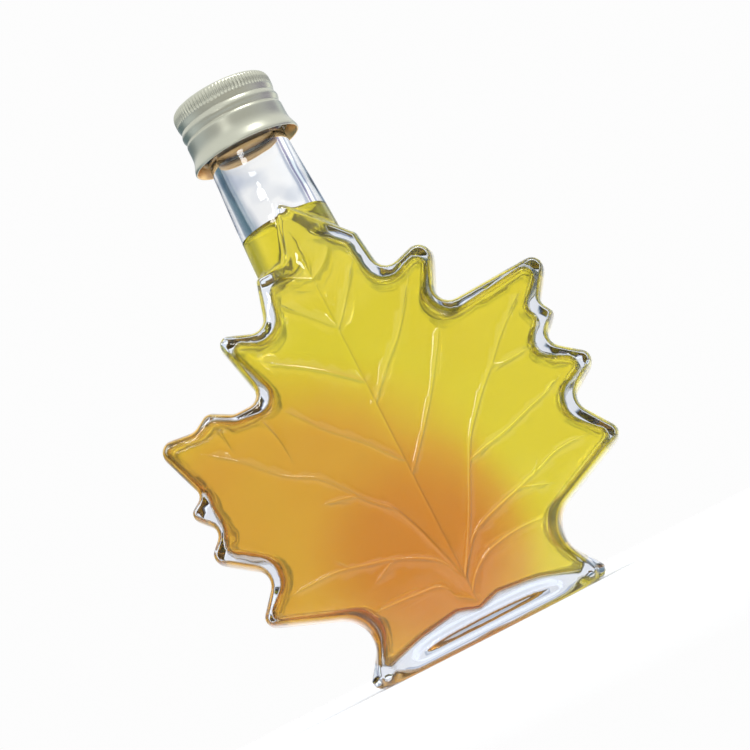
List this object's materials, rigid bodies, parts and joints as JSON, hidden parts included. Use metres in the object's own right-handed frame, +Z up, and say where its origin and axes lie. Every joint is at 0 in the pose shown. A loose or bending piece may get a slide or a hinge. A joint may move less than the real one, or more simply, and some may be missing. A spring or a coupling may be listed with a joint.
{
  "type": "maple leaf bottle",
  "caption": "Leaf-shaped clear glass flask of golden syrup, closed by a knurled metal screw cap and standing on an oval foot.",
  "frame": {"origin": "middle of the foot's underside, on the surface that the bottle stands on", "axes": "+Z up along the neck, -Y out of the leaf's front face, +X to the right seen from the front"},
  "size_m": [0.0889, 0.0292, 0.1294],
  "materials": {
    "clear_glass": "clear pressed glass, smooth, with raised veins",
    "golden_syrup": "clear golden liquid",
    "pale_aluminium": "satin champagne lacquer"
  },
  "bodies": {
    "root": {"bottle": "clear_glass", "syrup": "golden_syrup", "cap": "pale_aluminium"}
  },
  "joints": []
}
